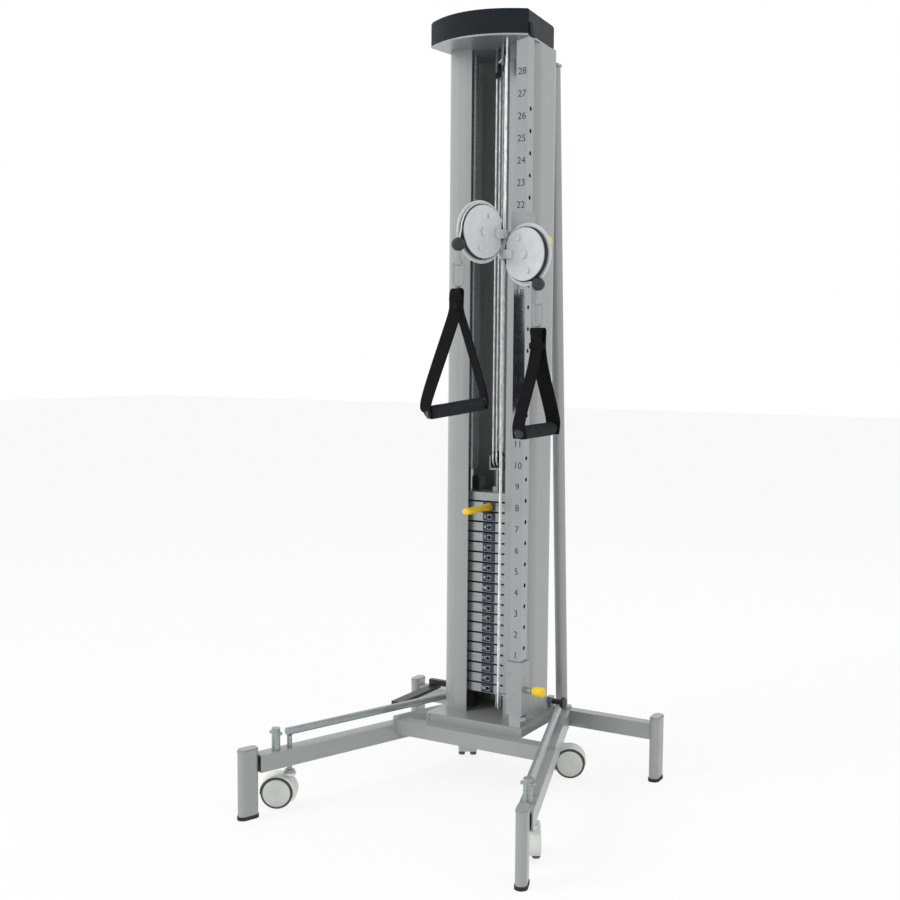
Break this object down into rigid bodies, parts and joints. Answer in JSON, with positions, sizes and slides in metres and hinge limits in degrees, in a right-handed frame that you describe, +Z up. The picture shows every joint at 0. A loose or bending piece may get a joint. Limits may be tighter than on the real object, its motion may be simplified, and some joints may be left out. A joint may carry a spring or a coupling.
{
  "type": "rope pulley trainer",
  "caption": "Weight stack trainer on a splayed floor frame, with a column, a height rail and two swivelling pulley heads with hand grips.",
  "frame": {"origin": "on the floor, at the middle of the footprint", "axes": "+Z up, +Y to the back, +X to the right of a user who faces the column"},
  "size_m": [0.7478, 0.7869, 1.836],
  "materials": {
    "silver_paint": "satin",
    "rubber": "matte",
    "cap_plastic": "matte",
    "panel_paint": "satin",
    "zinc": "satin",
    "chrome": "polished",
    "rope": "braided",
    "black_plastic": "satin",
    "grey_plastic": "satin",
    "tyre": "matte",
    "yellow_plastic": "satin",
    "alu": "satin",
    "webbing": "woven"
  },
  "bodies": {
    "root": {"foot_tubes": "silver_paint", "rubber_feet": "rubber", "leg_left": "silver_paint", "leg_right": "silver_paint", "cross_beams": "silver_paint", "base_box": "silver_paint", "column_left": "silver_paint", "column_right": "silver_paint", "back_panel": "panel_paint", "top_plate": "zinc", "top_cap": "cap_plastic", "guide_rods": "zinc", "height_rail": "chrome", "rear_braces": "silver_paint", "stack_buffers": "rubber", "rope_fixed": "rope", "weight_plates": "zinc", "lift_posts": "zinc", "lower_sleeve": "chrome"},
    "weight": {"head_plate": "zinc", "guide_bushes": "chrome", "selector_stem": "zinc", "block_strap": "zinc", "first_plate": "zinc", "block_lines": "rope"},
    "block_wheel_a": {"block_sheave_a": "black_plastic"},
    "block_wheel_b": {"block_sheave_b": "black_plastic"},
    "pin": {"selector_pin": "yellow_plastic"},
    "carriage": {"carriage_sleeve": "chrome", "hinge_arms": "zinc", "rope_upper": "rope", "rope_lower": "rope"},
    "plunger_upper": {"upper_plunger": "yellow_plastic"},
    "plunger_lower": {"lower_plunger": "yellow_plastic"},
    "left_head": {"head_left": "alu"},
    "right_head": {"head_right": "alu"},
    "left_wheel": {"sheave_left": "black_plastic"},
    "right_wheel": {"sheave_right": "black_plastic"},
    "handle_left": {"left_handle": "webbing", "left_clip": "chrome"},
    "handle_right": {"right_handle": "webbing", "right_clip": "chrome"},
    "wheel_bottom": {"bottom_sheave": "black_plastic"},
    "wheel_top_1": {"top_sheave_1": "black_plastic"},
    "wheel_top_2": {"top_sheave_2": "black_plastic"},
    "wheel_top_3": {"top_sheave_3": "black_plastic"},
    "wheel_top_4": {"top_sheave_4": "black_plastic"},
    "wheel_top_5": {"top_sheave_5": "black_plastic"},
    "pedal": {"pedal_shaft": "black_plastic"},
    "rods": {"pull_rods": "zinc"},
    "stems": {"caster_stems": "zinc"},
    "swivel_left_front": {"fork_left_front": "grey_plastic"},
    "swivel_right_front": {"fork_right_front": "grey_plastic"},
    "swivel_left_rear": {"fork_left_rear": "grey_plastic"},
    "swivel_right_rear": {"fork_right_rear": "grey_plastic"},
    "roller_left_front": {"wheel_left_front": "tyre"},
    "roller_right_front": {"wheel_right_front": "tyre"},
    "roller_left_rear": {"wheel_left_rear": "tyre"},
    "roller_right_rear": {"wheel_right_rear": "tyre"}
  },
  "joints": [
    {"name": "weight_lift", "type": "slide", "parent": "root", "child": "weight", "axis": [0, 0, 1], "range_m": [0, 0.8], "deforming": ["block_lines"]},
    {"name": "block_wheel_a_spin", "type": "hinge", "parent": "weight", "child": "block_wheel_a", "pos_m": [-0.0048, 0.167, 0.8013], "axis": [1, 0, 0], "continuous": true},
    {"name": "block_wheel_b_spin", "type": "hinge", "parent": "weight", "child": "block_wheel_b", "pos_m": [0.0048, 0.167, 0.8013], "axis": [1, 0, 0], "continuous": true},
    {"name": "pin_pull", "type": "slide", "parent": "weight", "child": "pin", "axis": [0, -1, 0], "range_m": [0, 0.06]},
    {"name": "carriage_slide", "type": "slide", "parent": "root", "child": "carriage", "axis": [0, 0, 1], "range_m": [-0.55, 0.3], "deforming": ["rope_upper", "rope_lower"]},
    {"name": "upper_plunger_pull", "type": "slide", "parent": "carriage", "child": "plunger_upper", "axis": [1, 0, 0], "range_m": [-0.004, 0.004], "stiffness_N_per_m": 300},
    {"name": "lower_plunger_pull", "type": "slide", "parent": "root", "child": "plunger_lower", "axis": [1, 0, 0], "range_m": [-0.004, 0.004], "stiffness_N_per_m": 300},
    {"name": "left_head_swivel", "type": "hinge", "parent": "carriage", "child": "left_head", "pos_m": [0.0732, 0.0415, 1.334], "axis": [0, 0, 1], "range_deg": [-60, 3]},
    {"name": "right_head_swivel", "type": "hinge", "parent": "carriage", "child": "right_head", "pos_m": [0.0786, 0.0425, 1.284], "axis": [0, 0, 1], "range_deg": [-30, 4]},
    {"name": "left_wheel_spin", "type": "hinge", "parent": "left_head", "child": "left_wheel", "pos_m": [0.05221, -0.01843, 1.334], "axis": [0.9438, -0.3305, 0], "continuous": true},
    {"name": "right_wheel_spin", "type": "hinge", "parent": "right_head", "child": "right_wheel", "pos_m": [0.14016, 0.02692, 1.284], "axis": [0.2453, 0.9694, 0], "continuous": true},
    {"name": "left_handle_swing", "type": "hinge", "parent": "left_head", "child": "handle_left", "pos_m": [0.02838, -0.08649, 1.30174], "axis": [-0.3305, -0.9438, 0], "range_deg": [-5, 8]},
    {"name": "right_handle_swing", "type": "hinge", "parent": "right_head", "child": "handle_right", "pos_m": [0.17776, 0.01741, 1.21517], "axis": [0.9694, -0.2453, 0], "range_deg": [-10, 4]},
    {"name": "bottom_wheel_spin", "type": "hinge", "parent": "root", "child": "wheel_bottom", "pos_m": [0.0685, 0.05325, 0.228], "axis": [0.9285, 0.3714, 0], "continuous": true},
    {"name": "top_wheel_1_spin", "type": "hinge", "parent": "root", "child": "wheel_top_1", "pos_m": [0, 0.167, 1.768], "axis": [0.9602, 0.2793, 0], "continuous": true},
    {"name": "top_wheel_2_spin", "type": "hinge", "parent": "root", "child": "wheel_top_2", "pos_m": [0.01222, 0.16932, 1.808], "axis": [0.886, 0.4637, 0], "continuous": true},
    {"name": "top_wheel_3_spin", "type": "hinge", "parent": "root", "child": "wheel_top_3", "pos_m": [0.07118, 0.05668, 1.808], "axis": [0.886, 0.4637, 0], "continuous": true},
    {"name": "top_wheel_4_spin", "type": "hinge", "parent": "root", "child": "wheel_top_4", "pos_m": [0.00521, 0.13802, 1.727], "axis": [0.78, 0.6258, 0], "continuous": true},
    {"name": "top_wheel_5_spin", "type": "hinge", "parent": "root", "child": "wheel_top_5", "pos_m": [0.05379, 0.07748, 1.727], "axis": [0.78, 0.6258, 0], "continuous": true},
    {"name": "pedal_press", "type": "hinge", "parent": "root", "child": "pedal", "pos_m": [0, 0.262, 0.19], "axis": [1, 0, 0], "range_deg": [0, 14]},
    {"name": "rod_slide", "type": "slide", "parent": "root", "child": "rods", "axis": [0, 1, 0], "range_m": [0, 0.005]},
    {"name": "caster_lift", "type": "slide", "parent": "root", "child": "stems", "axis": [0, 0, -1], "range_m": [0, 0.012]},
    {"name": "swivel_left_front_turn", "type": "hinge", "parent": "stems", "child": "swivel_left_front", "pos_m": [-0.31291, -0.261, 0.08], "axis": [0, 0, 1], "continuous": true},
    {"name": "roller_left_front_spin", "type": "hinge", "parent": "swivel_left_front", "child": "roller_left_front", "pos_m": [-0.33716, -0.275, 0.0395], "axis": [0.5, -0.866, 0], "continuous": true},
    {"name": "swivel_right_front_turn", "type": "hinge", "parent": "stems", "child": "swivel_right_front", "pos_m": [0.31291, -0.261, 0.08], "axis": [0, 0, 1], "continuous": true},
    {"name": "roller_right_front_spin", "type": "hinge", "parent": "swivel_right_front", "child": "roller_right_front", "pos_m": [0.29891, -0.23675, 0.0395], "axis": [-0.866, -0.5, 0], "continuous": true},
    {"name": "swivel_left_rear_turn", "type": "hinge", "parent": "stems", "child": "swivel_left_rear", "pos_m": [-0.13143, 0.262, 0.08], "axis": [0, 0, 1], "continuous": true},
    {"name": "roller_left_rear_spin", "type": "hinge", "parent": "swivel_left_rear", "child": "roller_left_rear", "pos_m": [-0.14543, 0.28625, 0.0395], "axis": [-0.866, -0.5, 0], "continuous": true},
    {"name": "swivel_right_rear_turn", "type": "hinge", "parent": "stems", "child": "swivel_right_rear", "pos_m": [0.13143, 0.262, 0.08], "axis": [0, 0, 1], "continuous": true},
    {"name": "roller_right_rear_spin", "type": "hinge", "parent": "swivel_right_rear", "child": "roller_right_rear", "pos_m": [0.15681, 0.27383, 0.0395], "axis": [-0.4226, 0.9063, 0], "continuous": true}
  ],
  "couplings": [
    {"joint": "rod_slide", "follows": "pedal_press", "m_per_rad": 0.020463},
    {"joint": "caster_lift", "follows": "pedal_press", "m_per_rad": 0.049111}
  ]
}
